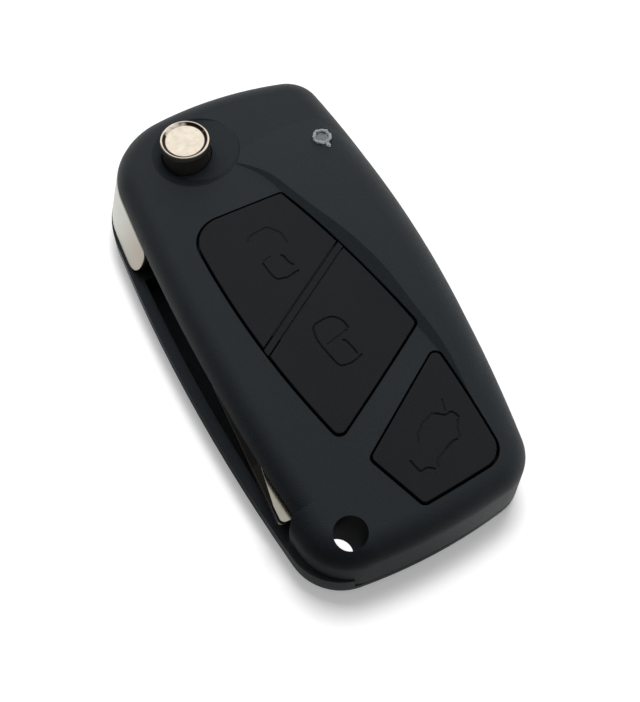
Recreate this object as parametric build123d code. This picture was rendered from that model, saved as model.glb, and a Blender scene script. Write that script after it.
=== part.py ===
from build123d import *
import os
from math import hypot

# Folding car key shell: two case halves, three keys, a sprung release button
# and a metal hub that swings the blade out of the side of the case.
# Millimetres. X is the width, Y the length with the hub at +Y, Z up from the table.

# Plan outline of the case: four large arcs with rounded corners
case_width = 36.5
case_length = 71.4
side_left = -case_width / 2
side_right = case_width / 2
end_top = case_length / 2
end_bottom = -case_length / 2
left_arc = 265.0
left_arc_y = 12.5
right_arc = 205.0
right_arc_y = 0.5
top_arc = 47.0
top_arc_x = 1.0
bottom_arc = 70.0
bottom_arc_x = -3.0
corner_top_left = 13.8
corner_top_right = 5.2
corner_bottom_right = 6.0
corner_bottom_left = 7.0

# The upper half draws back from the left side, so the hub and slot show there
lip_setback = 2.3
lip_arc = 330.0
lip_corner = 10.7
block_setback = 0.75
block_corner = 5.8
block_end_x = -13.5
block_end_y = -26.9

# Top surface: the field with the keys, and the raised band right of the step
field_peak = 12.6
field_crest_x = 0.0
field_crest_y = 4.0
field_radius = 600.0
band_peak = 13.4
band_crest_x = 6.0
band_crest_y = 2.0
band_radius = 220.0
top_edge_radius = 3.2
band_edge_radius = 3.8
block_edge_radius = 3.6
step_path = [(-6.5, 27.5), (1.55, 22.05), (3.7, 18.5), (4.95, 13.6), (7.45, 5.75), (10.2, -3.5),
             (11.35, -8.85), (12.75, -13.85), (14.0, -21.6), (15.2, -28.0)]
step_path_z = 12.9
step_base_z = 10.8
step_height = 3.0
step_lean_x = 1.9
step_lean_y = 0.87

# Case walls and heights
wall = 1.5
floor = 1.6
part_z = 3.0
side_part_z = 5.0
part_step_x = -9.35
part_play = 0.1
part_gap = 0.2
part_gap_depth = 0.4
bottom_edge_radius = 2.2
rim_z = 4.6
lip_z = 9.85
gap = 0.3

# Pivot, hub and blade
pivot_x = -5.0
pivot_y = 26.85
hub_radius = 8.35
hub_low_z = 4.85
hub_high_z = 9.6
journal_radius = 5.0
journal_clearance = 0.05
tongue_end_y = 14.95
tongue_low_round = 3.2
tongue_high_round = 0.8
flank_corner = 12.4
flank_inset = 0.4
hub_bore = 3.45
blade_x = -10.9
blade_width = 8.2
blade_thickness = 2.5
blade_low_z = 6.0
blade_tip_y = -26.75
blade_tip_corner = 0.9
blade_tip_rake = 1.5
blade_bevel = 0.25
relief_width = 1.05
relief_depth = 1.1
relief_tip_y = -26.0
relief_full_y = -18.1
relief_margin = 1.0
tang_width = 5.4
tang_length = 5.6
pin_radius = 0.8
pin_bore = 0.4
pin_inset = 2.6
fit = 0.05

# Release button
button_radius = 3.3
button_top_z = 14.65
button_travel = 1.8
button_clearance = 0.15
cap_low_z = 13.9
cap_edge = 0.1
cap_flat_radius = 2.6
cap_sink = 0.3
cap_slope = 0.5
cap_stub_radius = 1.6
cap_stub_length = 2.0
plunger_low_z = 7.6
stem_radius = 1.3
stem_length = 2.2
lug_reach = 4.9
lug_width = 1.6
lug_height = 1.6
lug_clearance = 0.15
seat_top_z = 2.9
seat_tenon = 2.6
seat_tenon_depth = 0.8
spring_wire = 0.35
spring_radius = 2.45
spring_turns = 4

# Dish round the release button
dish_centre = (-2.85, 26.6)
dish_radius = 5.05
dish_tilt = 6.0
dish_floor_z = 11.62
dish_height = 2.5
dish_spread = 1.6

# Keys
key_gap = 0.22
key_rise = 0.15
key_plate = 1.2
key_travel = 0.6
key_low_z = 9.7
key_skirt_inset = 0.8
key_skirt = 0.9
pad_corners = [(-9.87, 14.62), (3.85, 14.97), (11.12, -10.8), (-4.75, -21.42)]
pad_bulges = [0.0, 0.54, 0.1, 1.39]
pad_rounds = [4.2, 0.6, 0.9, 1.1]
boot_corners = [(11.63, -14.2), (12.47, -31.15), (0.6, -32.72), (-2.77, -24.69)]
boot_bulges = [0.2, 0.1, 0.0, 0.0]
boot_rounds = [1.0, 3.0, 0.9, 1.0]
divider_ends = [(6.9, 3.62), (-6.1, -5.55)]
divider_width = 0.9
divider_gap = 0.14
divider_overrun = 4.0
divider_rise = 0.07

# Keypad mat and board tray
board_left = -5.3
board_top = 16.4
lobe_left = 10.3
lobe_shoulder_y = 20.6
board_notch_x = -0.9
board_notch_y = -25.2
mat_clearance = 0.35
mat_top_z = 8.7
mat_thickness = 0.6
dome_radius = 2.6
dome_centres = [(1.0, 6.0), (2.2, -7.8), (6.6, -24.4)]
tray_wall = 0.9
tray_plate_z = 5.0
tray_plate = 0.9
cell_radius = 10.1
cell_centre = (5.65, -1.0)
clip_thickness = 0.3
clip_width = 3.0
clip_length = 10.1

# Light window, screws, ring hole and transponder plug
window_centre = (12.65, 21.0)
window_radius = 1.3
window_flange = 0.6
window_flange_thickness = 0.8
window_rise = 0.05
window_lobe = 3.0
screw_centres = [(-3.8, -28.8), (12.9, 28.2)]
screw_radius = 0.95
screw_head_radius = 1.8
screw_head_z = 0.25
screw_head_height = 1.3
screw_top_z = 9.2
screw_socket = 0.75
screw_socket_depth = 0.65
ring_hole_low = (-9.15, -30.0, 0.0)
ring_hole_high = (-8.45, -31.95, 11.4)
ring_hole_radius = 2.05
plug_left = -13.0
plug_width = 3.0
plug_low_y = tongue_end_y + tang_length + 0.85
plug_length = 7.0
plug_depth = 2.6

pivot = (pivot_x, pivot_y)
pin_centre = (blade_x, tongue_end_y + pin_inset)
blade_high_z = blade_low_z + blade_thickness
blade_left = blade_x - blade_width / 2
blade_right = blade_x + blade_width / 2
channel_right = blade_right + gap
cut_height = 20.0
reach = 60.0


def disc(radius, centre):
    """A round face at a plan centre."""
    return Pos(centre[0], centre[1]) * Circle(radius)


def area(x0, y0, x1, y1):
    """A rectangular face between two plan corners."""
    return Pos((x0 + x1) / 2, (y0 + y1) / 2) * Rectangle(abs(x1 - x0), abs(y1 - y0))


def prism(face, low, high):
    """A plan face raised between two heights."""
    return Pos(0, 0, low) * extrude(face, amount=high - low, dir=(0, 0, 1))


def rounded(face, centres_and_radii):
    """The face with the vertex nearest to each given point rounded."""
    for point, radius in centres_and_radii:
        vertex = face.vertices().sort_by_distance(Vector(point[0], point[1], 0))[0]
        face = fillet(vertex, radius)
    return face


def barrel(left_x, left_radius, left_corner, inset):
    """Barrel-shaped outline: the overlap of four large discs, with rounded corners."""
    face = disc(left_radius - inset, (left_x + left_radius, left_arc_y))
    face &= disc(right_arc - inset, (side_right - right_arc, right_arc_y))
    face &= disc(top_arc - inset, (top_arc_x, end_top - top_arc))
    face &= disc(bottom_arc - inset, (bottom_arc_x, end_bottom + bottom_arc))
    return rounded(face, [((left_x, end_top), left_corner - inset),
                          ((side_right, end_top), corner_top_right - inset),
                          ((side_right, end_bottom), corner_bottom_right - inset),
                          ((left_x, end_bottom), corner_bottom_left - inset)])


def case_outline(inset=0.0):
    """Outline of the lower half, drawn in by the inset."""
    return barrel(side_left, left_arc, corner_top_left, inset)


def lip_outline(inset=0.0):
    """Outline of the upper half, which draws back from the left side."""
    return barrel(side_left + lip_setback, lip_arc, lip_corner, inset)


def ring_end():
    """Plan of the ring end, whose edge slants away at the end of the slot."""
    far = block_end_x + reach
    return make_face(Polyline((board_left, block_end_y), (block_end_x, block_end_y),
                              (block_end_x - far, block_end_y - far), (board_left, block_end_y - far),
                              (board_left, block_end_y)))


def bulged_face(corners, bulges, rounds):
    """A closed face whose sides are shallow arcs, clockwise, with rounded corners."""
    sides = []
    for i, start in enumerate(corners):
        end = corners[(i + 1) % len(corners)]
        if bulges[i]:
            length = hypot(end[0] - start[0], end[1] - start[1])
            out = ((start[1] - end[1]) / length * bulges[i], (end[0] - start[0]) / length * bulges[i])
            middle = ((start[0] + end[0]) / 2 + out[0], (start[1] + end[1]) / 2 + out[1])
            sides.append(ThreePointArc(start, middle, end))
        else:
            sides.append(Line(start, end))
    return rounded(make_face(sides), zip(corners, rounds))


def field_crown(drop=0.0):
    """The solid under the crowned field, or under a surface that lies lower by the drop."""
    return Pos(field_crest_x, field_crest_y, field_peak - field_radius) * Sphere(field_radius - drop)


def band_crown(drop=0.0):
    """The solid under the raised band, or under a surface that lies lower by the drop."""
    return Pos(band_crest_x, band_crest_y, band_peak - band_radius) * Sphere(band_radius - drop)


def crowned_body(outline, top, edge_radius):
    """An outline raised from the main parting line to a crowned top with a rounded edge."""
    body = prism(outline, part_z, cut_height) & top
    top_face = body.faces().sort_by(Axis.Z)[-1]
    return fillet(top_face.edges(), edge_radius)


def step_wedge():
    """Everything right of the step, with a leaning wall."""
    path = Spline(step_path)
    start, end = step_path[0], step_path[-1]
    border = Polyline(end, (reach, end[1]), (reach, reach), (start[0], reach), start)
    drop = step_path_z - step_base_z
    face = Pos(-step_lean_x * drop, -step_lean_y * drop, step_base_z) * make_face([path, border])
    slant = step_height * hypot(1, step_lean_x, step_lean_y)
    return extrude(face, amount=slant, dir=(step_lean_x, step_lean_y, 1))


def half_turned(shape):
    """The shape turned half round the pivot, as the hub stands when it is open."""
    return shape.rotate(Axis((pivot_x, pivot_y, 0), (0, 0, 1)), 180)


def swing_room(space=gap):
    """Plan of the room for the hub and blade, from folded to fully out, with some space round them."""
    open_side = half_turned(case_outline(-space)) & area(pivot_x, end_bottom, reach, end_top + wall)
    room = disc(hub_radius + space, pivot) + area(-reach, pivot_y, pivot_x, end_top + wall)
    room += area(-reach, end_bottom, blade_right + space, pivot_y) - ring_end()
    return room + open_side


def ring_corner():
    """Plan of the corner by the ring hole, where the halves part as high as beside the slot."""
    return area(-reach, -reach, part_step_x, block_end_y)


def ring_bore():
    """The leaning bore for the key ring, through both halves."""
    low = Vector(ring_hole_low)
    plane = Plane(origin=low, z_dir=Vector(ring_hole_high) - low)
    return extrude(plane * Circle(ring_hole_radius), amount=cut_height, both=True)


def board_room(inset=0.0):
    """Plan of the room for the board, with a lobe up to the light window."""
    lobe_top = window_centre[1] + window_lobe
    plan = Polyline((board_left, board_top), (lobe_left - (lobe_shoulder_y - board_top), board_top),
                    (lobe_left, lobe_shoulder_y), (lobe_left, lobe_top), (reach, lobe_top),
                    (reach, -reach), (board_notch_x, -reach), (board_notch_x, board_notch_y),
                    (board_left, board_notch_y), (board_left, board_top))
    return offset(make_face(plan), -inset, kind=Kind.INTERSECTION) & lip_outline(wall + inset)


def key_pad_face():
    return bulged_face(pad_corners, pad_bulges, pad_rounds)


def boot_pad_face():
    return bulged_face(boot_corners, boot_bulges, boot_rounds)


def divider_face(width):
    """A strip along the line between the two upper keys, longer than the pad."""
    (x0, y0), (x1, y1) = divider_ends
    length = hypot(x1 - x0, y1 - y0)
    turn = Vector(x0 - x1, y0 - y1).get_angle(Vector(1, 0))
    strip = Rectangle(length + 2 * divider_overrun, width)
    return Pos((x0 + x1) / 2, (y0 + y1) / 2) * Rot(0, 0, turn) * strip


def upper_case():
    """Top half of the case: roof, skirt, ring-end block, openings and the dish."""
    body = crowned_body(lip_outline(), field_crown(), top_edge_radius)
    body += crowned_body(lip_outline(), band_crown(), band_edge_radius) & step_wedge()
    block_outline = barrel(side_left + block_setback, left_arc, block_corner, 0)
    body += crowned_body(block_outline, field_crown(), block_edge_radius) & prism(ring_end(), 0, cut_height)
    frustum = Cone(dish_radius, dish_radius + dish_spread * dish_height, dish_height,
                   align=(Align.CENTER, Align.CENTER, Align.MIN))
    body -= Pos(dish_centre[0], dish_centre[1], dish_floor_z) * Rot(0, -dish_tilt, 0) * frustum
    body -= prism(disc(button_radius + button_clearance, pivot), 0, cut_height)
    body -= prism(swing_room(), 0, lip_z)
    body -= prism(ring_corner(), 0, side_part_z)
    body -= prism(board_room(), 0, cut_height) & field_crown(wall)
    for pad in (key_pad_face(), boot_pad_face()):
        body -= prism(pad, 0, cut_height) - field_crown(key_plate + key_travel + fit)
    body -= prism(disc(window_radius + fit, window_centre), 0, cut_height)
    body -= ring_bore()
    for centre in screw_centres:
        body -= prism(disc(screw_radius + fit / 2, centre), 0, screw_top_z + gap)
    return body


def lower_case():
    """Bottom half of the case: tray with the slot, the hub seat and the board room."""
    body = prism(case_outline(), 0, side_part_z)
    body = fillet(body.faces().sort_by(Axis.Z)[0].edges(), bottom_edge_radius)
    border = case_outline() - case_outline(part_gap_depth)
    low_side = area(-reach, -reach, reach, reach) - swing_room(gap - part_play) - ring_corner()
    body -= prism(border, side_part_z - part_gap, cut_height)
    body -= prism(low_side, part_z, cut_height)
    body -= prism(border & low_side, part_z - part_gap, cut_height)
    body -= prism(swing_room(), rim_z, cut_height)
    channel = area(-reach, block_end_y + wall, channel_right, tongue_end_y - gap) & case_outline(wall)
    body -= prism(channel, floor, cut_height)
    body -= prism(board_room(), floor, cut_height)
    body -= prism(disc(journal_radius + journal_clearance, pivot), floor, cut_height)
    body -= prism(area(pivot_x - seat_tenon / 2, pivot_y - seat_tenon / 2, pivot_x + seat_tenon / 2,
                       pivot_y + seat_tenon / 2), floor - seat_tenon_depth, cut_height)
    body -= ring_bore()
    for centre in screw_centres:
        body -= prism(disc(screw_radius + fit, centre), -floor, cut_height)
        body -= prism(disc(screw_head_radius + fit, centre), -floor, screw_head_z + screw_head_height)
    return body


def key(pad, dome):
    """A key: thin crowned plate over the roof pocket, a skirt below and a post over its dome."""
    face = offset(pad, -key_gap)
    plate = (prism(face, 0, cut_height) & field_crown(-key_rise)) - field_crown(key_plate)
    room = board_room(gap)
    ring = offset(face, -key_skirt_inset) - offset(face, -key_skirt_inset - key_skirt)
    skirt = (ring + disc(dome_radius, dome)) & room
    return plate + (prism(skirt, key_low_z, cut_height) & field_crown(key_plate / 2))


def keys():
    pad = key_pad_face()
    split = divider_face(divider_width + 2 * (divider_gap - key_gap))
    halves = (pad - split).faces().sort_by(Axis.Y)
    return {"lock_key": key(halves[0], dome_centres[1]), "unlock_key": key(halves[-1], dome_centres[0]),
            "boot_key": key(boot_pad_face(), dome_centres[2])}


def keypad_mat():
    """Rubber mat under the keys, with domes and the thin rib between two keys."""
    low = mat_top_z - mat_thickness
    body = prism(board_room(mat_clearance), low, mat_top_z)
    dome_top = key_low_z - key_travel - fit
    for centre in dome_centres:
        body += prism(disc(dome_radius, centre), low, dome_top)
    rib = divider_face(divider_width) & offset(key_pad_face(), -key_gap)
    rib_crown = field_crown(-divider_rise)
    body += prism(rib & board_room(mat_clearance), low, cut_height) & rib_crown
    body += (prism(rib, low, cut_height) & rib_crown) - field_crown(key_plate + key_travel)
    return body


def board_tray():
    """Frame that carries the board, with a round room for the coin cell below."""
    body = prism(board_room(mat_clearance), floor, mat_top_z - mat_thickness)
    body -= prism(board_room(mat_clearance + tray_wall), tray_plate_z + tray_plate, cut_height)
    body -= prism(disc(cell_radius, cell_centre), 0, tray_plate_z)
    return body


def battery_clips():
    """Two sheet contacts in the cell room: a side one and a top one."""
    x, y = cell_centre
    low = floor + fit
    ring = disc(cell_radius - fit, cell_centre) - disc(cell_radius - fit - clip_thickness, cell_centre)
    half = area(x - reach, y + clip_width, x + reach, y + reach)
    side = prism(ring & half, low, tray_plate_z - clip_thickness)
    strip = area(x - clip_width / 2, y - clip_length / 2, x + clip_width / 2, y + clip_length / 2)
    top = prism(strip, tray_plate_z - clip_thickness, tray_plate_z)
    return {"battery_clip_side": side, "battery_clip_top": top}


def blade_hub():
    """Metal hub and tongue: the tongue's flank fills the side of the folded key."""
    plan = disc(hub_radius, pivot) + area(-reach, pivot_y, pivot_x, end_top)
    plan += area(-reach, tongue_end_y, channel_right - gap / 2, pivot_y + gap)
    low_face = Pos(0, 0, hub_low_z) * barrel(side_left, left_arc, flank_corner, flank_inset)
    high_face = Pos(0, 0, hub_high_z) * lip_outline(fit)
    body = prism(plan, hub_low_z, hub_high_z) & loft([low_face, high_face], ruled=True)
    tongue_end = body.faces().sort_by(Axis.Y)[0].edges().filter_by(Axis.X).sort_by(Axis.Z)
    body = fillet(tongue_end[0], tongue_low_round)
    tongue_end = body.faces().sort_by(Axis.Y)[0].edges().filter_by(Axis.X).sort_by(Axis.Z)
    body = fillet(tongue_end[-1], tongue_high_round)
    body += prism(disc(journal_radius, pivot), floor + fit, hub_low_z)
    body -= prism(disc(hub_bore, pivot), 0, cut_height)
    lug = area(pivot_x - lug_width / 2 - lug_clearance, pivot_y - lug_reach - lug_clearance,
               pivot_x + lug_width / 2 + lug_clearance, pivot_y + lug_reach + lug_clearance)
    body -= prism(lug, hub_high_z - lug_height - button_travel - gap, cut_height)
    tang = area(blade_x - tang_width / 2 - fit, 0, blade_x + tang_width / 2 + fit,
                tongue_end_y + tang_length + fit)
    body -= prism(tang, blade_low_z - fit, blade_high_z + fit)
    body -= prism(disc(pin_radius + fit / 2, pin_centre), hub_low_z + gap, cut_height)
    body -= prism(area(plug_left, plug_low_y, plug_left + plug_width, plug_low_y + plug_length),
                  hub_high_z - plug_depth, cut_height)
    return body


def blade():
    """Uncut blade with a wide bevel that runs out at the tip, and a narrow tang in the tongue."""
    shank = area(blade_left, blade_tip_y, blade_right, tongue_end_y - fit)
    tip_corners = [(blade_left, blade_tip_y), (blade_right, blade_tip_y)]
    shank = rounded(shank, [(corner, blade_tip_corner) for corner in tip_corners])
    body = prism(shank, blade_low_z, blade_high_z)
    body = chamfer(body.edges().filter_by(Axis.Y), blade_bevel)
    far = blade_tip_y - reach
    rake = Polyline((blade_tip_y, blade_high_z), (blade_tip_y + blade_tip_rake, blade_low_z),
                    (far, blade_low_z), (far, blade_high_z), (blade_tip_y, blade_high_z))
    body -= extrude(Plane.YZ * make_face(rake), amount=reach, both=True)
    outside = blade_left - relief_margin
    above = blade_high_z + relief_margin
    relief_low = blade_high_z - relief_depth
    section = [(blade_left, relief_low), (blade_left + relief_width, blade_high_z),
               (blade_left + relief_width, above), (outside, above), (outside, relief_low)]
    slant = make_face(Polyline([(x, relief_full_y, z) for x, z in section], close=True))
    body -= extrude(slant, amount=tongue_end_y - relief_full_y, dir=(0, 1, 0))
    body -= loft([slant, Vertex(blade_left, relief_tip_y, blade_high_z)])
    tang = area(blade_x - tang_width / 2, tongue_end_y - 1, blade_x + tang_width / 2,
                tongue_end_y + tang_length)
    body += prism(tang, blade_low_z, blade_high_z)
    return body - prism(disc(pin_radius + fit / 2, pin_centre), 0, cut_height)


def blade_pin():
    """Roll pin that holds the blade in the tongue."""
    ring = disc(pin_radius, pin_centre) - disc(pin_bore, pin_centre)
    return prism(ring, hub_low_z + gap, hub_high_z - fit)


def transponder_plug():
    """Plastic plug over the chip pocket in the hub."""
    face = area(plug_left + fit, plug_low_y + fit, plug_left + plug_width - fit,
                plug_low_y + plug_length - fit)
    return prism(face, hub_high_z - plug_depth + fit, hub_high_z)


def release_cap():
    """Polished metal cap of the release button: a disc with a raised rim, on a stub."""
    body = prism(disc(button_radius, pivot), cap_low_z, button_top_z)
    body = chamfer(body.faces().sort_by(Axis.Z)[-1].edges(), cap_edge)
    bowl = Cone(cap_flat_radius, cap_flat_radius + 2 * cap_slope, 2 * cap_sink,
                align=(Align.CENTER, Align.CENTER, Align.MIN))
    body -= Pos(pivot_x, pivot_y, button_top_z - cap_sink) * bowl
    return body + prism(disc(cap_stub_radius, pivot), cap_low_z - cap_stub_length, cap_low_z)


def release_plunger():
    """Plunger that carries the cap, with two lugs that slide in the hub."""
    body = prism(disc(button_radius, pivot), plunger_low_z, cap_low_z)
    body -= prism(disc(cap_stub_radius + fit, pivot), cap_low_z - cap_stub_length - fit, cut_height)
    body += prism(disc(stem_radius, pivot), plunger_low_z - stem_length, plunger_low_z)
    lugs = area(pivot_x - lug_width / 2, pivot_y - lug_reach, pivot_x + lug_width / 2, pivot_y + lug_reach)
    return body + prism(lugs, hub_high_z - lug_height, hub_high_z)


def spring_seat():
    """Disc with a square tenon that holds the spring still in the lower case."""
    body = prism(disc(button_radius, pivot), floor, seat_top_z)
    side = seat_tenon / 2 - fit
    return body + prism(area(pivot_x - side, pivot_y - side, pivot_x + side, pivot_y + side),
                        floor - seat_tenon_depth + fit, floor)


def flip_spring():
    """Coil spring that lifts the button and turns the hub."""
    low = seat_top_z + spring_wire + fit
    high = plunger_low_z - spring_wire - fit
    path = Pos(pivot_x, pivot_y, low) * Helix(pitch=(high - low) / spring_turns, height=high - low,
                                              radius=spring_radius)
    section = Plane(origin=path @ 0, z_dir=path % 0) * Circle(spring_wire)
    return sweep(section, path=path, is_frenet=True)


def led_window():
    """Clear plug that shows the signal light through the roof."""
    x, y = window_centre
    across = hypot(x - field_crest_x, y + window_radius + window_flange - field_crest_y)
    flange_top = field_peak - wall - across ** 2 / (2 * field_radius) - fit
    flange_low = flange_top - window_flange_thickness
    body = prism(disc(window_radius, window_centre), flange_low, cut_height) & band_crown(-window_rise)
    return body + prism(disc(window_radius + window_flange, window_centre), flange_low, flange_top)


def case_screws():
    """Two screws from below that hold the halves together."""
    screws = []
    for centre in screw_centres:
        head = prism(disc(screw_head_radius, centre), screw_head_z, screw_head_z + screw_head_height)
        shank = prism(disc(screw_radius, centre), screw_head_z, screw_top_z)
        socket = Pos(centre[0], centre[1], screw_head_z) * extrude(
            RegularPolygon(screw_socket, 6), amount=screw_socket_depth)
        screws.append(head + shank - socket)
    return Compound(children=screws)


def main():
    nodes = {"upper_case": upper_case(), "lower_case": lower_case(), "keypad_mat": keypad_mat(),
             "board_tray": board_tray(), "blade_hub": blade_hub(), "blade": blade(), "blade_pin": blade_pin(),
             "transponder_plug": transponder_plug(), "release_cap": release_cap(),
             "release_plunger": release_plunger(), "spring_seat": spring_seat(), "flip_spring": flip_spring(),
             "led_window": led_window(), "case_screws": case_screws()}
    nodes |= keys()
    nodes |= battery_clips()
    os.makedirs("parts", exist_ok=True)
    for name, shape in nodes.items():
        export_step(shape, f"parts/{name}.step")


main()
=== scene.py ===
"""Finish of a folding car key shell: moulded case, rubber keys with sunk signs, plated metal parts."""

import math

import bpy
from bpy.props import FloatProperty, FloatVectorProperty, PointerProperty
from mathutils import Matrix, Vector


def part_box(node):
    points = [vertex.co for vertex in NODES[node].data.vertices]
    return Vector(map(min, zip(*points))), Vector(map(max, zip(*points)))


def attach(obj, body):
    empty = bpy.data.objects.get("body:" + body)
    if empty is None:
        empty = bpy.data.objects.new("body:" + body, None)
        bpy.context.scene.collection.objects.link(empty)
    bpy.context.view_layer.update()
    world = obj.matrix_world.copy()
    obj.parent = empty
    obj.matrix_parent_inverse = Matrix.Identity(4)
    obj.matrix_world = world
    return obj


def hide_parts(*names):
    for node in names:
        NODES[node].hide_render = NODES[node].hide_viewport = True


bl_info = {
    "name": "Folding Key Shell",
    "version": (1, 0, 0),
    "blender": (4, 5, 0),
    "location": "View3D > Sidebar > Key Shell",
    "description": "Materials, sunk key signs, light window and studio stage of a folding key shell",
    "category": "Object",
}

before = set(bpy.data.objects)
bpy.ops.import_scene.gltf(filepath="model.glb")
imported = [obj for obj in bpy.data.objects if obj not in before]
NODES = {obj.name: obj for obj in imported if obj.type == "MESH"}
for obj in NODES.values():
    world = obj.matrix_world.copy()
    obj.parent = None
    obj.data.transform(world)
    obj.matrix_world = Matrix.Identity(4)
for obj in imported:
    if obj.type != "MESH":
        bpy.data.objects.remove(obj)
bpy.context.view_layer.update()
MM = 0.001

# Photograph's frame and viewing angle
FRAME_WIDTH = 640
FRAME_HEIGHT = 702
FOCAL_PIXELS = 1200
VIEW_ELEVATION = math.radians(60.5)
VIEW_AZIMUTH = math.radians(-25.0)
VIEW_DISTANCE = 148.3 * MM
VIEW_TARGET = Vector((-1.685, -9.10, 12.0)) * MM
SENSOR = 36.0

# Direction of the bright side of the room, to the right and behind
BRIGHT_SIDE = Vector((0.69, 0.58, 0.42)).normalized()

# Foot of the ring hole on the floor, the middle of a spot of painted light
RING_FOOT = Vector((-9.15, -30.0, 0.0)) * MM

# Half sizes of the oval of floor that is painted dark under the shell in a gloss, a painted shadow, and where
# its soft edge starts and ends
COVERED = Vector((22.4, 37.4, 0.0)) * MM
COVERED_EDGE = (0.92, 1.05)

# Middle line of the mat's rib between two keys, how far aside the beads lie, how much further aside the
# key's height is taken, in millimetres, and the number of stretches of a bead
RIB_LINE = ((6.7, 3.48), (-5.9, -5.41))
RIB_SIDE = 0.59
RIB_PROBE = 0.5
RIB_STRETCHES = 6

# Scraps of plastic on the torn rim of the light window: place from its centre and radii, in millimetres
WINDOW_SCRAPS = (((0.85, 0.7), (0.3, 0.32, 0.2)), ((0.2, -1.6), (0.26, 0.55, 0.14)))

# Signs on the keys, as plan lines in millimetres: open padlock, closed padlock, car with open boot.
# The padlock's body and the car's ends are cut deep, and the rest has only a faint line.
UNLOCK_SIGN = {
    "deep": [
        [(-3.05, 5.32), (-3.04, 4.95), (-2.92, 3.96), (-2.71, 3.02), (-2.49, 2.42), (-2.05, 2.16),
         (-1.55, 2.18), (-1.22, 1.99), (-0.69, 2.08), (-0.04, 2.28), (0.71, 2.44)],
        [(-0.51, 5.51), (-0.21, 5.32), (-0.11, 4.76), (-0.01, 4.21), (0.15, 3.79), (0.48, 3.43)],
    ],
    "faint": [
        [(-0.54, 10.33), (0.13, 9.91), (0.37, 9.34), (0.92, 8.96), (0.98, 8.14), (1.05, 7.5), (1.05, 6.88)],
        [(-3.52, 9.24), (-3.05, 9.81), (-2.26, 10.05), (-1.5, 10.1), (-0.54, 10.33)],
        [(-2.86, 5.54), (-2.32, 5.8), (-1.66, 5.86)],
    ],
}
LOCK_SIGN = {
    "deep": [
        [(-1.24, -6.1), (-0.95, -5.84), (-0.45, -5.66), (0.08, -5.6), (0.55, -5.5), (1.03, -5.48),
         (1.59, -5.61), (2.11, -5.99), (2.43, -6.48), (2.67, -7.0), (2.78, -7.9)],
        [(-1.24, -6.1), (-1.43, -6.8), (-1.53, -7.61), (-1.47, -8.64), (-1.21, -9.69), (-0.98, -10.79),
         (-0.61, -12.15), (-0.2, -12.42), (0.37, -12.5), (0.98, -12.51), (1.65, -12.38), (2.69, -11.94)],
        [(1.32, -9.23), (1.57, -9.19), (1.75, -9.62), (2.07, -10.81), (2.21, -11.65)],
    ],
    "faint": [
        [(-0.66, -8.94), (-0.06, -8.83), (0.62, -8.55), (1.38, -8.4), (2.03, -8.18), (2.53, -7.99)],
    ],
}
BOOT_SIGN = {
    "deep": [
        [(7.01, -22.76), (7.36, -22.9), (7.64, -23.15), (8.2, -23.51), (8.57, -23.44), (8.96, -23.34),
         (9.31, -23.59), (9.56, -24.4)],
        [(8.13, -26.83), (7.8, -26.83), (7.31, -26.85), (6.39, -27.32)],
        [(1.67, -26.95), (1.71, -27.38), (1.91, -28.03), (2.08, -28.68), (2.34, -28.73), (2.94, -28.59),
         (3.3, -28.65), (3.91, -29.14)],
    ],
    "faint": [
        [(8.81, -21.43), (8.64, -22.01), (8.51, -22.53), (8.42, -23.0)],
        [(6.91, -22.61), (6.46, -22.81), (5.77, -23.11), (5.04, -23.35), (4.52, -23.97), (3.96, -24.28),
         (3.88, -24.81), (3.54, -25.36)],
        [(9.34, -24.56), (8.98, -25.11), (8.65, -25.68), (8.59, -26.22), (8.43, -26.72)],
        [(6.39, -27.32), (5.9, -27.61), (5.12, -27.96), (4.48, -28.29), (4.35, -29.06)],
    ],
}


def linear(text):
    """A hex colour as linear red, green and blue."""
    values = [int(text[i:i + 2], 16) / 255 for i in (1, 3, 5)]
    return [v / 12.92 if v <= 0.04045 else ((v + 0.055) / 1.055) ** 2.4 for v in values]


def shade(colour):
    """A colour with the alpha that a shader socket wants."""
    return (*colour, 1.0)


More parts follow.
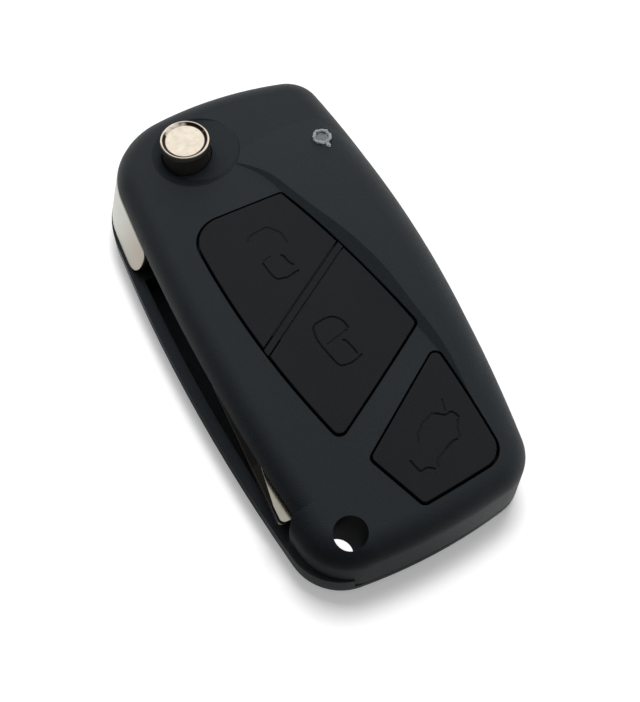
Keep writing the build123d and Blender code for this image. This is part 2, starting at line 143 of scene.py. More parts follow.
class ShellSizes(bpy.types.PropertyGroup):
    """Sizes of the small details."""

    groove_width: FloatProperty(name="Groove width", description="Width of the sunk lines of the signs",
                                default=0.30 * MM, unit="LENGTH")
    deep_groove: FloatProperty(name="Deep groove", description="Depth of the clear lines of the signs",
                               default=0.20 * MM, unit="LENGTH")
    faint_groove: FloatProperty(name="Faint groove", description="Depth of the faint lines of the signs",
                                default=0.11 * MM, unit="LENGTH")
    key_shrink: FloatProperty(name="Key shrinkage", description="How far the keys shrink at each side",
                              default=0.15 * MM, unit="LENGTH")
    bead_radius: FloatProperty(name="Rib bead", description="Radius of the rubber beads beside the mat's rib",
                               default=0.1 * MM, unit="LENGTH")
    bead_sink: FloatProperty(name="Rib bead depth", description="How far the beads lie below the keys' tops",
                             default=0.08 * MM, unit="LENGTH")
    edge_round: FloatProperty(name="Edge rounding", description="Rounding of the moulded edges",
                              default=0.12 * MM, unit="LENGTH")
    key_edge_round: FloatProperty(name="Key rounding", description="Rounding of the soft keys' edges",
                                  default=0.22 * MM, unit="LENGTH")
    grain: FloatProperty(name="Mould grain", description="Size of the bumps of the textured mould",
                         default=0.12 * MM, unit="LENGTH")
    grain_depth: FloatProperty(name="Grain depth", description="Height of the bumps of the textured mould",
                               default=0.07 * MM, unit="LENGTH")
    slope_radius: FloatProperty(name="Cap slope", description="Middle radius of the slope in the cap's rim",
                                default=2.85 * MM, unit="LENGTH")
    rim_radius: FloatProperty(name="Window rim radius", description="Middle radius of the window's torn rim",
                              default=1.08 * MM, unit="LENGTH")
    rim_thickness: FloatProperty(name="Window rim thickness", description="Half width of the torn rim",
                                 default=0.21 * MM, unit="LENGTH")
    rim_sink: FloatProperty(name="Window rim depth", description="Depth of the rim's middle below the top",
                            default=0.02 * MM, unit="LENGTH")
    tear_size: FloatProperty(name="Tear size", description="Size of the dents in the torn rim",
                             default=0.45 * MM, unit="LENGTH")
    tear_depth: FloatProperty(name="Tear depth", description="Height of the dents in the torn rim",
                              default=0.5 * MM, unit="LENGTH")


class ShellColours(bpy.types.PropertyGroup):
    """Colours of the finishes."""

    case: FloatVectorProperty(name="Case", description="Black moulded case", subtype="COLOR",
                              default=linear("#101317"))
    rubber: FloatVectorProperty(name="Keys", description="Soft keys", subtype="COLOR",
                                default=linear("#161719"))
    hub: FloatVectorProperty(name="Hub", description="Plated hub", subtype="COLOR",
                             default=linear("#D2D2CB"))
    # Colour of the hub's end towards the slot, darker and warmer than the rest
    hub_dim_end: FloatVectorProperty(name="Hub's worn end", description="Warmer, duller end of the hub",
                                  subtype="COLOR", default=linear("#B9B1A3"))
    blade: FloatVectorProperty(name="Blade", description="Plated blade blank", subtype="COLOR",
                               default=linear("#A7A296"))
    # Painted shade: dark colour of the blade's sides and bevels, for the dark slot they mirror
    blade_side_shade: FloatVectorProperty(name="Sheared edges", description="Dull edges of the blade blank",
                                 subtype="COLOR", default=linear("#5E5B54"))
    cap: FloatVectorProperty(name="Button cap", description="Polished button cap", subtype="COLOR",
                             default=linear("#F0E4D3"))
    # Painted reflection: brown-black of dark things mirrored in the slope of the cap's rim
    cap_rim_reflection: FloatVectorProperty(name="Tarnish", description="Brown film in the slope of the cap's rim",
                                 subtype="COLOR", default=linear("#2E2118"))
    plunger: FloatVectorProperty(name="Plunger", description="Plastic under the button cap", subtype="COLOR",
                                 default=linear("#3A3936"))
    window: FloatVectorProperty(name="Light window", description="Cloudy clear plastic", subtype="COLOR",
                                default=linear("#9EA3A6"))
    window_core: FloatVectorProperty(name="Window's middle", description="Clear middle over the dark inside",
                                     subtype="COLOR", default=linear("#6E7376"))
    steel: FloatVectorProperty(name="Steel", description="Screws, pin and spring", subtype="COLOR",
                               default=linear("#B4B3AF"))
    contact: FloatVectorProperty(name="Contacts", description="Plated contact strips", subtype="COLOR",
                                 default=linear("#C9C2AE"))
    inner: FloatVectorProperty(name="Inner plastic", description="Board tray and plug", subtype="COLOR",
                               default=linear("#1B1B1B"))
    floor: FloatVectorProperty(name="Floor", description="White studio floor", subtype="COLOR",
                               default=linear("#F4F4F4"))


class StageSizes(bpy.types.PropertyGroup):
    """Floor and lamps."""

    floor_side: FloatProperty(name="Floor side", description="Side of the square floor", default=3.0,
                              unit="LENGTH")
    lamp_power: FloatProperty(name="Lamp power", description="Power of the soft lamp in watts", default=1.9,
                              unit="POWER")
    lamp_side: FloatProperty(name="Lamp side", description="Side of the soft lamp", default=0.18,
                             unit="LENGTH")
    lamp_distance: FloatProperty(name="Lamp distance", description="Distance from the origin to the lamp",
                                 default=0.5, unit="LENGTH")
    lamp_height: FloatProperty(name="Lamp height", description="Angle of the lamp over the floor",
                               default=math.radians(75), unit="ROTATION")
    lamp_turn: FloatProperty(name="Lamp turn", description="Direction of the lamp, from the right side round",
                             default=math.radians(54), unit="ROTATION")
    sky: FloatProperty(name="Room light", description="Strength of the even light of the room", default=0.25,
                       subtype="FACTOR")
    glow: FloatProperty(name="Floor glow", description="Brightness that the camera sees even in the shadow",
                        default=0.27, subtype="FACTOR")
    # Painted light: a white glowing spot on the floor under the ring hole
    lit_spot_radius: FloatProperty(name="White spot", description="Radius of the white spot under the ring hole",
                               default=3 * MM, unit="LENGTH")
    lit_spot_edge: FloatProperty(name="Spot's edge", description="Width of the white spot's soft edge",
                             default=1 * MM, unit="LENGTH")
    near_floor: FloatProperty(name="Near floor", description="How far out the floor keeps the shadow",
                              default=0.09, unit="LENGTH")
    far_floor: FloatProperty(name="Far floor", description="Distance from which the floor is plain white",
                             default=0.22, unit="LENGTH")
    wall_light: FloatProperty(name="Dark side", description="Brightness of the dark side in a gloss",
                              default=0.05, subtype="FACTOR")
    covered_light: FloatProperty(name="Covered floor", description="Share of light left under the shell",
                                 default=0.2, subtype="FACTOR")
    dark_limit: FloatProperty(name="Dark limit", description="Cosine to the bright side where the dark ends",
                              default=-0.4, subtype="FACTOR")
    bright_limit: FloatProperty(name="Bright limit", description="Cosine where the full brightness starts",
                                default=0.75, subtype="FACTOR")
    sheet_dark: FloatProperty(name="Sheet's dark end", description="Where the floor fades out in a gloss",
                              default=-55 * MM, unit="LENGTH")
    sheet_bright: FloatProperty(name="Sheet's bright end", description="Where the floor is white in a gloss",
                                default=5 * MM, unit="LENGTH")


def sizes():
    """The detail sizes of the open scene."""
    return bpy.context.scene.key_shell_sizes


def colours():
    """The finish colours of the open scene."""
    return bpy.context.scene.key_shell_colours


def add_node(tree, kind, settings=None, values=None, links=None):
    """Adds one node to a tree, with its settings, socket values and incoming links."""
    node = tree.nodes.new(kind)
    for name, value in (settings or {}).items():
        setattr(node, name, value)
    for name, value in (values or {}).items():
        node.inputs[name].default_value = value
    for name, source in (links or {}).items():
        tree.links.new(source, node.inputs[name])
    return node


def start_material(name):
    """An empty node material with an output, and its object coordinates."""
    material = bpy.data.materials.new(name)
    material.use_nodes = True
    tree = material.node_tree
    tree.nodes.clear()
    place = add_node(tree, "ShaderNodeTexCoord").outputs["Object"]
    return material, tree, place


def finish_material(material, tree, shader):
    """Links the last shader to the material's output."""
    add_node(tree, "ShaderNodeOutputMaterial", links={"Surface": shader.outputs[0]})
    return material


def fade(tree, place, direction, limits, levels):
    """A level that rises smoothly along a direction, between two limits."""
    along = add_node(tree, "ShaderNodeVectorMath", {"operation": "DOT_PRODUCT"}, {1: direction}, {0: place})
    return add_node(tree, "ShaderNodeMapRange", {"interpolation_type": "SMOOTHSTEP"},
                    {"From Min": limits[0], "From Max": limits[1], "To Min": levels[0], "To Max": levels[1]},
                    {"Value": along.outputs["Value"]}).outputs[0]


def two_tone(tree, place, colour, patch, contrast):
    """A colour that drifts a little over patches of the given real size."""
    drift = add_node(tree, "ShaderNodeTexNoise", values={"Scale": 1 / patch, "Detail": 3.0},
                     links={"Vector": place})
    dark = [c * (1 - contrast) for c in colour]
    light = [c * (1 + contrast) for c in colour]
    return add_node(tree, "ShaderNodeMix", {"data_type": "RGBA"},
                    {"A": shade(dark), "B": shade(light)}, {"Factor": drift.outputs["Fac"]}).outputs["Result"]


def grainy_normal(tree, place, grain, height, edge):
    """A normal with soft edges and a fine grain of the given real size."""
    edges = add_node(tree, "ShaderNodeBevel", {"samples": 6}, {"Radius": edge})
    noise = add_node(tree, "ShaderNodeTexNoise", values={"Scale": 1 / grain, "Detail": 2.0},
                     links={"Vector": place})
    return add_node(tree, "ShaderNodeBump", values={"Strength": 1.0, "Distance": height},
                    links={"Height": noise.outputs["Fac"], "Normal": edges.outputs[0]}).outputs[0]


def plan_radius(tree, place, node):
    """Distance in plan from the middle of a node."""
    low, high = (Vector(corner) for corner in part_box(node))
    flat = add_node(tree, "ShaderNodeVectorMath", {"operation": "MULTIPLY"}, {1: (1, 1, 0)}, {0: place})
    return add_node(tree, "ShaderNodeVectorMath", {"operation": "DISTANCE"},
                    {1: ((low + high) / 2).xy.to_3d()}, {0: flat.outputs[0]}).outputs["Value"]


def moulded_abs():
    """Black ABS from a spark-eroded mould: matt, with a soft and slightly cold sheen over a fine grain."""
    material, tree, place = start_material("moulded_abs")
    colour = two_tone(tree, place, colours().case, 7 * MM, 0.18)
    # The real grain is too fine to show, so it is drawn coarser and deeper
    normal = grainy_normal(tree, place, sizes().grain, sizes().grain_depth, sizes().edge_round)
    shader = add_node(tree, "ShaderNodeBsdfPrincipled",
                      values={"Roughness": 0.5, "Specular IOR Level": 0.35,
                              "Specular Tint": (0.86, 0.97, 1, 1)},
                      links={"Base Color": colour, "Normal": normal})
    return finish_material(material, tree, shader)


def silicone_rubber():
    """Black silicone keys with a rubbery matt coat: duller and a little warmer than the case."""
    material, tree, place = start_material("silicone_rubber")
    colour = two_tone(tree, place, colours().rubber, 5 * MM, 0.15)
    # The real grain is too fine to show, so it is drawn coarser and deeper
    normal = grainy_normal(tree, place, sizes().grain, sizes().grain_depth, sizes().key_edge_round)
    shader = add_node(tree, "ShaderNodeBsdfPrincipled", values={"Roughness": 0.6, "Specular IOR Level": 0.19},
                      links={"Base Color": colour, "Normal": normal})
    return finish_material(material, tree, shader)


def satin_nickel():
    """Zinc die casting, tumbled and nickel plated: cloudy satin, duller and warmer at the slot's end."""
    material, tree, place = start_material("satin_nickel")
    bright = two_tone(tree, place, colours().hub, 3 * MM, 0.05)
    dimmer = two_tone(tree, place, colours().hub_dim_end, 3 * MM, 0.07)
    # The hub fades along its length to a darker, warmer colour towards the slot's end
    along = fade(tree, place, (0, 1, 0), (15 * MM, 25 * MM), (0.0, 1.0))
    colour = add_node(tree, "ShaderNodeMix", {"data_type": "RGBA"},
                      links={"Factor": along, "A": dimmer, "B": bright}).outputs["Result"]
    normal = grainy_normal(tree, place, 0.2 * MM, 0.004 * MM, 0.18 * MM)
    wear = add_node(tree, "ShaderNodeTexNoise", values={"Scale": 1 / (1.5 * MM), "Detail": 4.0},
                    links={"Vector": place})
    rough = add_node(tree, "ShaderNodeMapRange", values={"To Min": 0.30, "To Max": 0.42},
                     links={"Value": wear.outputs["Fac"]})
    shader = add_node(tree, "ShaderNodeBsdfPrincipled", values={"Metallic": 1.0},
                      links={"Base Color": colour, "Normal": normal, "Roughness": rough.outputs[0]})
    return finish_material(material, tree, shader)


def rolled_nickel_silver():
    """Uncut blank stamped from nickel silver: rolled lines along its faces, and painted shade on its upright
    sides and bevels, which are coloured dark for the dark slot they mirror.
    """
    material, tree, place = start_material("rolled_nickel_silver")
    face = two_tone(tree, place, colours().blade, 0.8 * MM, 0.12)
    upright = add_node(tree, "ShaderNodeSeparateXYZ",
                       links={0: add_node(tree, "ShaderNodeTexCoord").outputs["Normal"]}).outputs["Z"]
    level = add_node(tree, "ShaderNodeMath", {"operation": "ABSOLUTE"}, links={0: upright})
    rolled = add_node(tree, "ShaderNodeMapRange", values={"From Min": 0.8, "From Max": 0.95},
                      links={"Value": level.outputs[0]}).outputs[0]
    # Painted shade: faces that do not face up or down get the dark side colour
    colour = add_node(tree, "ShaderNodeMix", {"data_type": "RGBA"}, {"A": shade(colours().blade_side_shade)},
                      {"Factor": rolled, "B": face}).outputs["Result"]
    fine, coarse = 1 / (0.08 * MM), 1 / (4 * MM)
    along = add_node(tree, "ShaderNodeMapping", values={"Scale": (fine, coarse, fine)},
                     links={"Vector": place})
    lines = add_node(tree, "ShaderNodeTexNoise", values={"Scale": 1.0, "Detail": 2.0},
                     links={"Vector": along.outputs[0]})
    edges = add_node(tree, "ShaderNodeBevel", {"samples": 6}, {"Radius": 0.12 * MM})
    bump = add_node(tree, "ShaderNodeBump", values={"Strength": 1.0, "Distance": 0.002 * MM},
                    links={"Height": lines.outputs["Fac"], "Normal": edges.outputs[0]})
    shader = add_node(tree, "ShaderNodeBsdfPrincipled", values={"Metallic": 1.0, "Roughness": 0.22},
                      links={"Base Color": colour, "Normal": bump.outputs[0]})
    return finish_material(material, tree, shader)


def polished_nickel():
    """Cap turned and buffed to a wavy mirror; a broken brown-black ring in the slope of its rim is a painted
    reflection of dark things.
    """
    material, tree, place = start_material("polished_nickel")
    polish = two_tone(tree, place, colours().cap, 0.9 * MM, 0.22)
    normal = grainy_normal(tree, place, 1.1 * MM, 0.02 * MM, 0.05 * MM)
    off = add_node(tree, "ShaderNodeMath", {"operation": "SUBTRACT"}, {1: sizes().slope_radius},
                   {0: plan_radius(tree, place, "release_cap")})
    away = add_node(tree, "ShaderNodeMath", {"operation": "ABSOLUTE"}, links={0: off.outputs[0]})
    ring = add_node(tree, "ShaderNodeMapRange", values={"From Min": 0.16 * MM, "From Max": 0.28 * MM,
                                                        "To Min": 1.0, "To Max": 0.0},
                    links={"Value": away.outputs[0]})
    patches = add_node(tree, "ShaderNodeTexNoise", values={"Scale": 1 / (2.2 * MM), "Detail": 3.0},
                       links={"Vector": place})
    broken = add_node(tree, "ShaderNodeMapRange", values={"From Min": 0.30, "From Max": 0.44},
                      links={"Value": patches.outputs["Fac"]})
    # Painted reflection: a broken dark ring in the rim's slope stands in for dark things mirrored there
    dark_reflection = add_node(tree, "ShaderNodeMath", {"operation": "MULTIPLY"},
                    links={0: ring.outputs[0], 1: broken.outputs[0]})
    colour = add_node(tree, "ShaderNodeMix", {"data_type": "RGBA"}, {"B": shade(colours().cap_rim_reflection)},
                      {"Factor": dark_reflection.outputs[0], "A": polish}).outputs["Result"]
    shader = add_node(tree, "ShaderNodeBsdfPrincipled", values={"Metallic": 1.0, "Roughness": 0.09},
                      links={"Base Color": colour, "Normal": normal})
    return finish_material(material, tree, shader)


def brown_black_nylon():
    """Glass-filled nylon of the plunger: dark, with a faint brown cast."""
    material, tree, place = start_material("brown_black_nylon")
    colour = two_tone(tree, place, colours().plunger, 1.5 * MM, 0.2)
    normal = grainy_normal(tree, place, 0.1 * MM, 0.006 * MM, 0.1 * MM)
    shader = add_node(tree, "ShaderNodeBsdfPrincipled", values={"Roughness": 0.45, "Specular IOR Level": 0.3},
                      links={"Base Color": colour, "Normal": normal})
    return finish_material(material, tree, shader)


def cloudy_polycarbonate():
    """Light pipe of polycarbonate: dim and mottled in the middle, frosted at its torn rim."""
    material, tree, place = start_material("cloudy_polycarbonate")
    frosted = two_tone(tree, place, colours().window, 0.6 * MM, 0.3)
    core = two_tone(tree, place, colours().window_core, 0.35 * MM, 0.7)
    outward = add_node(tree, "ShaderNodeMapRange", values={"From Min": 0.7 * MM, "From Max": 1.0 * MM},
                       links={"Value": plan_radius(tree, place, "led_window")}).outputs[0]
    colour = add_node(tree, "ShaderNodeMix", {"data_type": "RGBA"},
                      links={"Factor": outward, "A": core, "B": frosted}).outputs["Result"]
    normal = grainy_normal(tree, place, 0.3 * MM, 0.06 * MM, 0.05 * MM)
    shader = add_node(tree, "ShaderNodeBsdfPrincipled",
                      values={"Roughness": 0.4, "Transmission Weight": 0.2, "IOR": 1.58},
                      links={"Base Color": colour, "Normal": normal})
    return finish_material(material, tree, shader)


def plain_steel():
    """Drawn and turned steel of the screws, the pin and the spring."""
    material, tree, place = start_material("plain_steel")
    colour = two_tone(tree, place, colours().steel, 1.0 * MM, 0.1)
    normal = grainy_normal(tree, place, 0.12 * MM, 0.003 * MM, 0.08 * MM)
    shader = add_node(tree, "ShaderNodeBsdfPrincipled", values={"Metallic": 1.0, "Roughness": 0.38},
                      links={"Base Color": colour, "Normal": normal})
    return finish_material(material, tree, shader)


def tinned_contact():
    """Nickel plated phosphor bronze strip of the cell's contacts."""
    material, tree, place = start_material("tinned_contact")
    colour = two_tone(tree, place, colours().contact, 2 * MM, 0.08)
    normal = grainy_normal(tree, place, 0.3 * MM, 0.004 * MM, 0.04 * MM)
    shader = add_node(tree, "ShaderNodeBsdfPrincipled", values={"Metallic": 1.0, "Roughness": 0.25},
                      links={"Base Color": colour, "Normal": normal})
    return finish_material(material, tree, shader)


def inner_plastic():
    """Plain black ABS of the inner parts, from a smooth mould."""
    material, tree, place = start_material("inner_plastic")
    colour = two_tone(tree, place, colours().inner, 4 * MM, 0.15)
    normal = grainy_normal(tree, place, 0.25 * MM, 0.006 * MM, 0.1 * MM)
    shader = add_node(tree, "ShaderNodeBsdfPrincipled", values={"Roughness": 0.4, "Specular IOR Level": 0.4},
                      links={"Base Color": colour, "Normal": normal})
    return finish_material(material, tree, shader)


FINISHES = {
    moulded_abs: ["upper_case", "lower_case"],
    silicone_rubber: ["keypad_mat"],
    satin_nickel: ["blade_hub"],
    rolled_nickel_silver: ["blade"],
    polished_nickel: ["release_cap"],
    brown_black_nylon: ["release_plunger", "spring_seat"],
    cloudy_polycarbonate: ["led_window"],
    plain_steel: ["case_screws", "blade_pin", "flip_spring"],
    tinned_contact: ["battery_clip_side", "battery_clip_top"],
    inner_plastic: ["board_tray", "transponder_plug"],
}


def dress(thing, material):
    """Gives an object one material."""
    thing.data.materials.clear()
    thing.data.materials.append(material)


def deselect():
    """Leaves nothing selected."""
    bpy.ops.object.select_all(action="DESELECT")


def pick(thing):
    """Selects one object alone and makes it active."""
    deselect()
    thing.select_set(True)
    bpy.context.view_layer.objects.active = thing


def merged_copy(node, name):
    """A separate copy of a node with its loose triangles merged."""
    copy = bpy.data.objects.new(name, NODES[node].data.copy())
    bpy.context.scene.collection.objects.link(copy)
    pick(copy)
    bpy.ops.object.mode_set(mode="EDIT")
    bpy.ops.mesh.select_all(action="SELECT")
    bpy.ops.mesh.customdata_custom_splitnormals_clear()
    bpy.ops.mesh.remove_doubles(threshold=0.0005 * MM)
    bpy.ops.object.mode_set(mode="OBJECT")
    return copy


def surface_height(thing, x, y):
    """Height of an object's upper surface over a plan point, in metres."""
    hit, place, _, _ = thing.ray_cast(Vector((x, y, 1.0)), Vector((0, 0, -1)))
    if not hit:
        raise ValueError(f"{thing.name} has no surface over {x}, {y}")
    return place.z


def bar_along(points, radius):
    """A round bar along points that hold plan millimetres and a height in metres."""
    bpy.ops.curve.primitive_nurbs_path_add(location=(0, 0, 0))
    bar = bpy.context.object
    bar.data.splines.clear()
    spline = bar.data.splines.new("NURBS")
    spline.points.add(len(points) - 1)
    for point, (x, y, z) in zip(spline.points, points):
        point.co = (x * MM, y * MM, z, 1.0)
    spline.order_u = 3
    spline.use_endpoint_u = True
    bar.data.bevel_depth = radius
    bar.data.bevel_resolution = 2
    bar.data.resolution_u = 3
    bar.data.use_fill_caps = True
    bpy.ops.object.convert(target="MESH")
    return bpy.context.object


def sunk_line(thing, points, depth):
    """A round bar along a line on a surface, to be cut out of it to a depth."""
    radius = sizes().groove_width / 2
    lift = radius - depth
    return bar_along([(x, y, surface_height(thing, x * MM, y * MM) + lift) for x, y in points], radius)


def cut_away(thing, cutter):
    """Cuts one object out of another and deletes the cutter."""
    pick(thing)
    cut = thing.modifiers.new("cut", "BOOLEAN")
    cut.operation = "DIFFERENCE"
    cut.solver = "EXACT"
    cut.object = cutter
    bpy.ops.object.modifier_apply(modifier=cut.name)
    bpy.data.objects.remove(cutter)


def engraved_key(node, sign, material):
    """A key, a little shrunk as silicone does, with its sign sunk into the top."""
    key = merged_copy(node, node + "_engraved")
    low, high = (Vector(corner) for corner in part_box(node))
    kept = [1 - 2 * sizes().key_shrink / span for span in (high - low).xy]
    bpy.ops.object.mode_set(mode="EDIT")
    bpy.ops.mesh.select_all(action="SELECT")
    bpy.ops.transform.resize(value=(kept[0], kept[1], 1), center_override=(low + high) / 2)
    bpy.ops.object.mode_set(mode="OBJECT")
    depths = {"deep": sizes().deep_groove, "faint": sizes().faint_groove}
    bars = [sunk_line(key, line, depths[kind]) for kind, lines in sign.items() for line in lines]
    for bar in bars:
        cut_away(key, bar)
    pick(key)
    bpy.ops.object.shade_smooth_by_angle(angle=math.radians(25))
    dress(key, material)
    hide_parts(node)
    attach(key, node)


class KEYSHELL_OT_finishes(bpy.types.Operator):
    """Give every solid of the shell its finish"""

    bl_idname = "key_shell.finishes"
    bl_label = "Finishes"

    def execute(self, context):
        for make, nodes in FINISHES.items():
            material = make()
            for node in nodes:
                dress(NODES[node], material)
        return {"FINISHED"}


class KEYSHELL_OT_keys(bpy.types.Operator):
    """Sink the signs into the three keys"""

    bl_idname = "key_shell.keys"
    bl_label = "Keys with signs"

    def execute(self, context):
        material = bpy.data.materials["silicone_rubber"]
        engraved_key("unlock_key", UNLOCK_SIGN, material)
        engraved_key("lock_key", LOCK_SIGN, material)
        engraved_key("boot_key", BOOT_SIGN, material)
        return {"FINISHED"}


class KEYSHELL_OT_rib(bpy.types.Operator):
    """Add the rubber beads beside the rib of the mat, between two keys"""

    bl_idname = "key_shell.rib"
    bl_label = "Rib beads"

    def execute(self, context):
        start, end = Vector(RIB_LINE[0]), Vector(RIB_LINE[1])
        aside = Vector((start.y - end.y, end.x - start.x)).normalized()
        for name, key, way in (("rib_bead_upper", "unlock_key_engraved", -1),
                               ("rib_bead_lower", "lock_key_engraved", 1)):
            points = [start.lerp(end, i / RIB_STRETCHES) + aside * way * RIB_SIDE
                      for i in range(RIB_STRETCHES + 1)]
            inner = [point + aside * way * RIB_PROBE for point in points]
            heights = [surface_height(bpy.data.objects[key], x * MM, y * MM) for x, y in inner]
            bead = bar_along([(x, y, z - sizes().bead_radius - sizes().bead_sink)
                              for (x, y), z in zip(points, heights)], sizes().bead_radius)
            bead.name = name
            bpy.ops.object.shade_smooth()
            dress(bead, bpy.data.materials["silicone_rubber"])
            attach(bead, "case")
        return {"FINISHED"}


class KEYSHELL_OT_window(bpy.types.Operator):
    """Add the torn rim of the light window"""

    bl_idname = "key_shell.window"
    bl_label = "Window rim"

    def execute(self, context):
        low, high = (Vector(corner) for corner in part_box("led_window"))
        centre = (low + high) / 2
        top = high.z - sizes().rim_sink
        deselect()
        bpy.ops.mesh.primitive_torus_add(location=(centre.x, centre.y, top),
                                         major_radius=sizes().rim_radius, minor_radius=sizes().rim_thickness,
                                         major_segments=64, minor_segments=14)
        rim = bpy.context.object
        rim.name = "window_rim"
        scraps = []
        for (x, y), radii in WINDOW_SCRAPS:
            bpy.ops.mesh.primitive_ico_sphere_add(subdivisions=3, scale=[radius * MM for radius in radii],
                                                  location=(centre.x + x * MM, centre.y + y * MM, top))
            scraps.append(bpy.context.object)
        pick(rim)
        for scrap in scraps:
            scrap.select_set(True)
        bpy.ops.object.join()
        bpy.ops.object.transform_apply(location=True, rotation=True, scale=True)
        merge = rim.modifiers.new("merge", "REMESH")
        merge.mode = "VOXEL"
        merge.voxel_size = 0.05 * MM
        bpy.ops.object.modifier_apply(modifier=merge.name)
        torn = bpy.data.textures.new("torn", "CLOUDS")
        torn.noise_scale = sizes().tear_size
        push = rim.modifiers.new("torn", "DISPLACE")
        push.texture = torn
        push.texture_coords = "LOCAL"
        push.strength = sizes().tear_depth
        push.mid_level = 0.45
        bpy.ops.object.modifier_apply(modifier=push.name)
        even = rim.modifiers.new("even", "SMOOTH")
        even.iterations = 3
        bpy.ops.object.modifier_apply(modifier=even.name)
        bpy.ops.object.shade_smooth()
        dress(rim, bpy.data.materials["cloudy_polycarbonate"])
        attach(rim, "case")
        return {"FINISHED"}


def seen(tree, path):
    """One for rays from the camera or through a clear material, and nought for others."""
    direct = path.outputs["Is Camera Ray"]
    through = path.outputs["Is Transmission Ray"]
    return add_node(tree, "ShaderNodeMath", {"operation": "MAXIMUM"},
                    links={0: direct, 1: through}).outputs[0]


class KEYSHELL_OT_stage(bpy.types.Operator):
    """Set up the floor, the light and the camera"""

    bl_idname = "key_shell.stage"
    bl_label = "Stage"

    def execute(self, context):
        stage = context.scene.key_shell_stage
        self.floor(stage)
        self.lamp(stage)
        self.world(context, stage)
        self.camera(context)
        context.scene.view_settings.view_transform = "Standard"
        return {"FINISHED"}

    def floor(self, stage):
        """A white floor that shows itself one way to the camera and another way in a gloss."""
        deselect()
        bpy.ops.mesh.primitive_plane_add(size=stage.floor_side, location=(0, 0, 0))
        floor = bpy.context.object
        floor.name = "floor"
        material, tree, place = start_material("white_floor")
        path = add_node(tree, "ShaderNodeLightPath")
        lit = self.lit_floor(stage, tree, place, path)
        mirrored = self.mirrored_floor(stage, tree, place)
        both = add_node(tree, "ShaderNodeMixShader",
                        links={0: path.outputs["Is Glossy Ray"], 1: lit, 2: mirrored})
        dress(floor, finish_material(material, tree, both))

    def lit_floor(self, stage, tree, place, path):
        """White that keeps a soft shadow, and is plain white far away; in a spot under the ring hole it glows
        white, painted light that lifts the shell's shadow there.
        """
        matt = add_node(tree, "ShaderNodeBsdfDiffuse", values={"Color": shade(colours().floor)})
        foot = add_node(tree, "ShaderNodeVectorMath", {"operation": "DISTANCE"}, {1: RING_FOOT},
                        {0: place}).outputs["Value"]
        lit_spot_end = stage.lit_spot_radius + stage.lit_spot_edge
        # Painted light: within the spot the floor glows fully white, lifting the shell's shadow seen through
        # the ring hole
        near = add_node(tree, "ShaderNodeMapRange", links={"Value": foot},
                        values={"From Min": stage.lit_spot_radius, "From Max": lit_spot_end,
                                "To Min": 1.0, "To Max": stage.glow})
        far = add_node(tree, "ShaderNodeMapRange", links={"Value": foot},
                       values={"From Min": stage.near_floor, "From Max": stage.far_floor})
        level = add_node(tree, "ShaderNodeMath", {"operation": "MAXIMUM"},
                         links={0: near.outputs[0], 1: far.outputs[0]})
        shown = add_node(tree, "ShaderNodeMath", {"operation": "MULTIPLY"},
                         links={0: seen(tree, path), 1: level.outputs[0]})
        glow = add_node(tree, "ShaderNodeEmission", links={"Strength": shown.outputs[0]})
        return add_node(tree, "ShaderNodeAddShader",
                        links={0: matt.outputs[0], 1: glow.outputs[0]}).outputs[0]

    def mirrored_floor(self, stage, tree, place):
        """The floor in a gloss is a glow: bright behind and at the right, dim in front, and dark under the
        shell as a painted shadow.
        """
        flat = BRIGHT_SIDE.xy.normalized().to_3d()
        sheet = fade(tree, place, flat, (stage.sheet_dark, stage.sheet_bright), (stage.wall_light, 1.0))
        # Painted shadow: in a gloss the floor's glow drops to the covered share under the shell
        oval = add_node(tree, "ShaderNodeVectorMath", {"operation": "MULTIPLY"},
                        {1: (1 / COVERED.x, 1 / COVERED.y, 0)}, {0: place})
        reach = add_node(tree, "ShaderNodeVectorMath", {"operation": "LENGTH"}, links={0: oval.outputs[0]})
        open_floor = add_node(tree, "ShaderNodeMapRange", links={"Value": reach.outputs["Value"]},
                              values={"From Min": COVERED_EDGE[0], "From Max": COVERED_EDGE[1],
                                      "To Min": stage.covered_light})
        gloss = add_node(tree, "ShaderNodeMath", {"operation": "MULTIPLY"},
                         links={0: sheet, 1: open_floor.outputs[0]})
        return add_node(tree, "ShaderNodeEmission", links={"Strength": gloss.outputs[0]}).outputs[0]

    def lamp(self, stage):
        """A soft lamp over the right side and behind; the plastic is too rough to show it as a gloss."""
        flat = math.cos(stage.lamp_height)
        place = stage.lamp_distance * Vector((flat * math.cos(stage.lamp_turn),
                                              flat * math.sin(stage.lamp_turn),
                                              math.sin(stage.lamp_height)))
        bpy.ops.object.light_add(type="AREA", location=place,
                                 rotation=place.to_track_quat("Z", "Y").to_euler())
        lamp = bpy.context.object
        lamp.name = "soft_lamp"
        lamp.data.energy = stage.lamp_power
        lamp.data.size = stage.lamp_side
        lamp.visible_glossy = False

    def world(self, context, stage):
        """An even light; a gloss shows the room bright at the right and behind, and dark in front."""
        world = bpy.data.worlds.new("white_room")
        context.scene.world = world
        world.use_nodes = True
        world.cycles.sampling_method = "NONE"
        tree = world.node_tree
        tree.nodes.clear()
        path = add_node(tree, "ShaderNodeLightPath")
        ray = add_node(tree, "ShaderNodeTexCoord").outputs["Generated"]
        gloss = fade(tree, ray, BRIGHT_SIDE, (stage.dark_limit, stage.bright_limit), (stage.wall_light, 1.0))
        room = add_node(tree, "ShaderNodeMix", {"data_type": "FLOAT"}, {"A": stage.sky},
                        {"Factor": path.outputs["Is Glossy Ray"], "B": gloss})
        strength = add_node(tree, "ShaderNodeMix", {"data_type": "FLOAT"}, {"B": 1.0},
                            {"Factor": seen(tree, path), "A": room.outputs["Result"]})
        light = add_node(tree, "ShaderNodeBackground", links={"Strength": strength.outputs["Result"]},
                         values={"Color": (1, 1, 1, 1)})
        add_node(tree, "ShaderNodeOutputWorld", links={"Surface": light.outputs[0]})

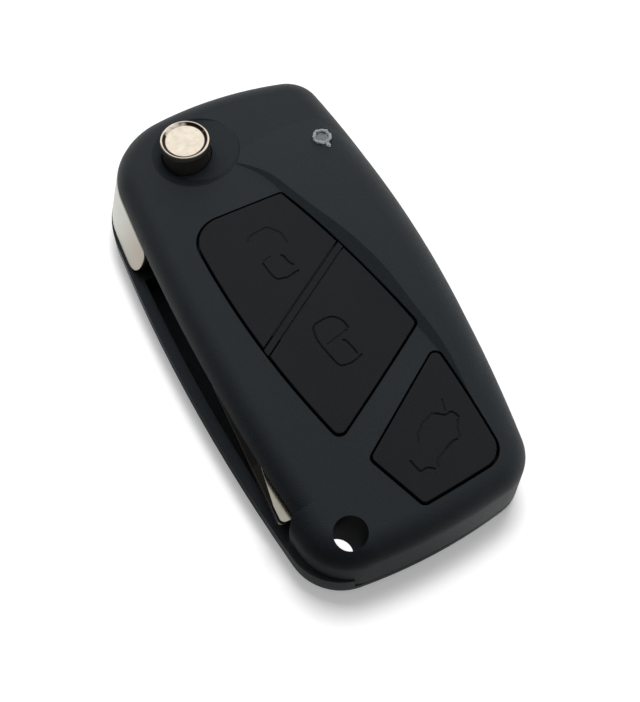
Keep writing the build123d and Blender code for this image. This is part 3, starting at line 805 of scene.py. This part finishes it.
    def camera(self, context):
        """The camera at the photograph's angle."""
        back = Vector((math.sin(VIEW_AZIMUTH) * math.cos(VIEW_ELEVATION),
                       -math.cos(VIEW_AZIMUTH) * math.cos(VIEW_ELEVATION), math.sin(VIEW_ELEVATION)))
        bpy.ops.object.camera_add(location=VIEW_TARGET + back * VIEW_DISTANCE,
                                  rotation=back.to_track_quat("Z", "Y").to_euler())
        camera = bpy.context.object
        camera.data.sensor_width = SENSOR
        camera.data.lens = SENSOR * FOCAL_PIXELS / max(FRAME_WIDTH, FRAME_HEIGHT)
        camera.data.clip_start = 0.001
        context.scene.camera = camera


class KEYSHELL_PT_panel(bpy.types.Panel):
    """Lists the steps of the shell's finish"""

    bl_idname = "KEYSHELL_PT_panel"
    bl_label = "Key Shell"
    bl_space_type = "VIEW_3D"
    bl_region_type = "UI"
    bl_category = "Key Shell"

    def draw(self, context):
        for step in STEPS:
            self.layout.operator(step.bl_idname)
        for group in (context.scene.key_shell_sizes, context.scene.key_shell_colours,
                      context.scene.key_shell_stage):
            for name in group.__annotations__:
                self.layout.prop(group, name)


STEPS = (KEYSHELL_OT_finishes, KEYSHELL_OT_keys, KEYSHELL_OT_rib, KEYSHELL_OT_window, KEYSHELL_OT_stage)
CLASSES = (ShellSizes, ShellColours, StageSizes, *STEPS, KEYSHELL_PT_panel)


def register():
    for kind in CLASSES:
        bpy.utils.register_class(kind)
    bpy.types.Scene.key_shell_sizes = PointerProperty(type=ShellSizes)
    bpy.types.Scene.key_shell_colours = PointerProperty(type=ShellColours)
    bpy.types.Scene.key_shell_stage = PointerProperty(type=StageSizes)


def unregister():
    del bpy.types.Scene.key_shell_stage
    del bpy.types.Scene.key_shell_colours
    del bpy.types.Scene.key_shell_sizes
    for kind in reversed(CLASSES):
        bpy.utils.unregister_class(kind)


def main():
    register()
    bpy.ops.key_shell.finishes()
    bpy.ops.key_shell.keys()
    bpy.ops.key_shell.rib()
    bpy.ops.key_shell.window()
    bpy.ops.key_shell.stage()


if __name__ == "__main__":
    main()
